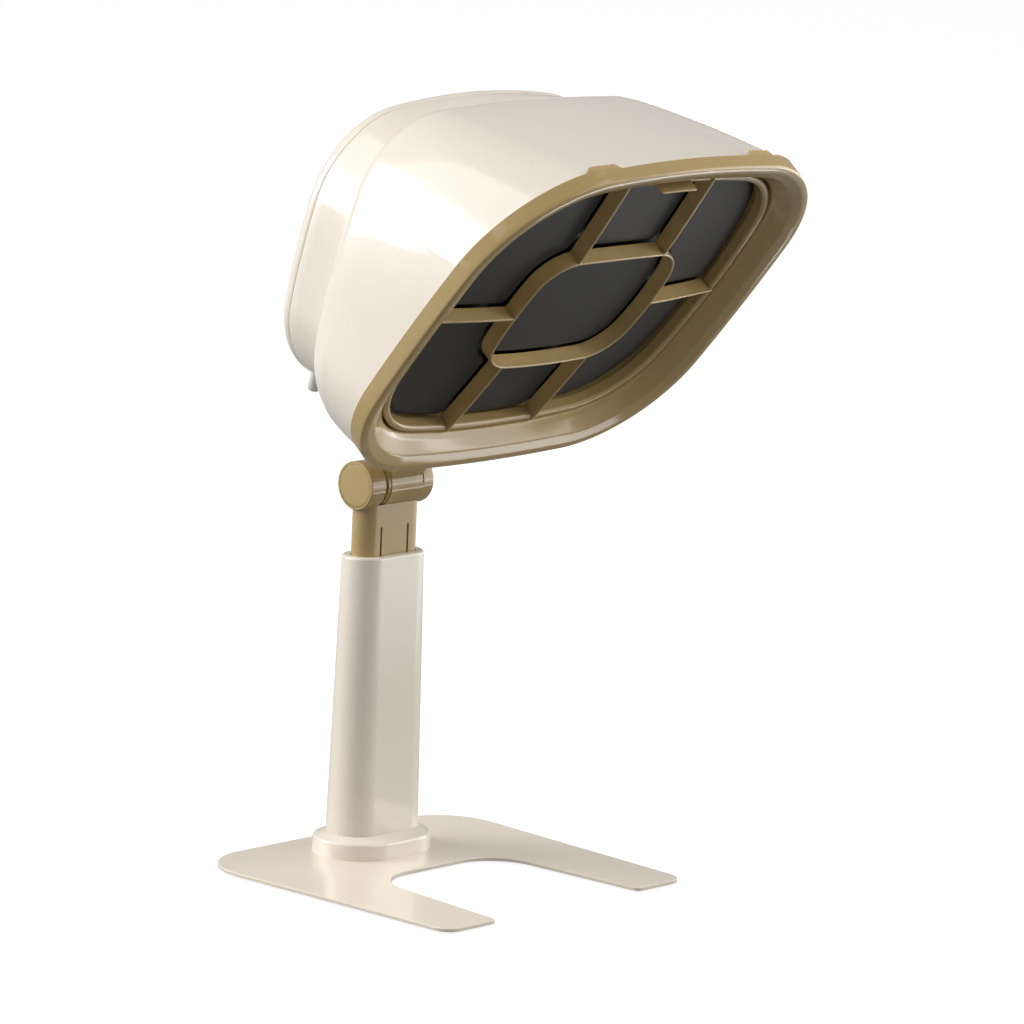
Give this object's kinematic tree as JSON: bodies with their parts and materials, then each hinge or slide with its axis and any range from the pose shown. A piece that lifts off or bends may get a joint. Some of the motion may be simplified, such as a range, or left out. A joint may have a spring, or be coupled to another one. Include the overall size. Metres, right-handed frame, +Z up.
{
  "type": "hood hair dryer",
  "caption": "Table-top hood hair dryer: a wide squared bonnet with a barred, plated mouth tilts on a telescopic column above a flat forked base.",
  "frame": {"origin": "on the table under the axis of the column, at the underside of the base's pads", "axes": "+Z up, the hood's mouth and the base's prongs face -Y, +X to the right when the mouth is seen from the front"},
  "size_m": [0.3166, 0.3244, 0.5469],
  "materials": {
    "cream_paint": "satin powder coat",
    "cream_plastic": "glossy cream moulding",
    "bronze_plastic": "satin metallic bronze coat",
    "black_rubber": "soft pad",
    "steel": "plain steel",
    "grey_plastic": "plain moulding",
    "dark_enamel": "smooth dark enamel",
    "black_plastic": "heat-proof moulding",
    "motor_steel": "zinc plate",
    "mica": "mica sheet",
    "board": "circuit board",
    "black_gloss": "glossy moulding"
  },
  "bodies": {
    "stand": {"base_plate": "cream_paint", "foot_pads": "black_rubber", "centre_pad": "black_rubber", "base_screws": "steel", "column_sleeve": "cream_plastic", "base_collar": "cream_plastic", "guide_tube": "steel", "column_foot": "grey_plastic", "guide_bush": "grey_plastic"},
    "mast": {"mast_tube": "bronze_plastic", "mast_shoe": "grey_plastic", "hinge_barrel": "bronze_plastic", "hinge_cap_left": "bronze_plastic", "hinge_cap_right": "bronze_plastic", "tilt_shaft": "steel", "friction_washers": "steel"},
    "hood": {"hood_arm": "bronze_plastic", "arm_screws": "steel", "main_shell": "cream_plastic", "rear_housing": "cream_plastic", "rear_cover": "cream_plastic", "fan_duct": "black_plastic", "motor_bracket": "steel", "fan_motor": "motor_steel", "heater_frame": "mica", "heater_element": "steel", "thermal_cutout": "motor_steel", "intake_filter": "grey_plastic", "control_panel": "bronze_plastic", "control_board": "board", "cord_gland": "grey_plastic", "front_ring": "bronze_plastic", "plate_tray": "black_plastic", "plate_centre": "dark_enamel", "plate_top": "dark_enamel", "plate_bottom": "dark_enamel", "plate_upper_left": "dark_enamel", "plate_upper_right": "dark_enamel", "plate_lower_left": "dark_enamel", "plate_lower_right": "dark_enamel"},
    "impeller": {"impeller": "black_plastic"},
    "grille": {"grille_insert": "bronze_plastic"},
    "heat_knob": {"heat_knob": "bronze_plastic"},
    "power_rocker": {"power_rocker": "black_gloss"}
  },
  "joints": [
    {"name": "mast_height", "type": "slide", "parent": "stand", "child": "mast", "axis": [0, 0, 1], "range_m": [-0.02, 0.08]},
    {"name": "hood_tilt", "type": "hinge", "parent": "mast", "child": "hood", "pos_m": [0, 0, 0.2648], "axis": [1, 0, 0], "range_deg": [-40, 5]},
    {"name": "fan_spin", "type": "hinge", "parent": "hood", "child": "impeller", "pos_m": [0, -0.05717, 0.43861], "axis": [0, -0.9613, -0.2756], "continuous": true},
    {"name": "grille_pull", "type": "slide", "parent": "hood", "child": "grille", "axis": [0, -0.766, -0.6428], "range_m": [0, 0.06]},
    {"name": "knob_turn", "type": "hinge", "parent": "hood", "child": "heat_knob", "pos_m": [0.14, -0.06474, 0.45413], "axis": [1, 0, 0], "range_deg": [0, 270]},
    {"name": "rocker_press", "type": "hinge", "parent": "hood", "child": "power_rocker", "pos_m": [0.1342, -0.0551, 0.42048], "axis": [0, -0.9613, -0.2756], "range_deg": [0, 12]}
  ]
}
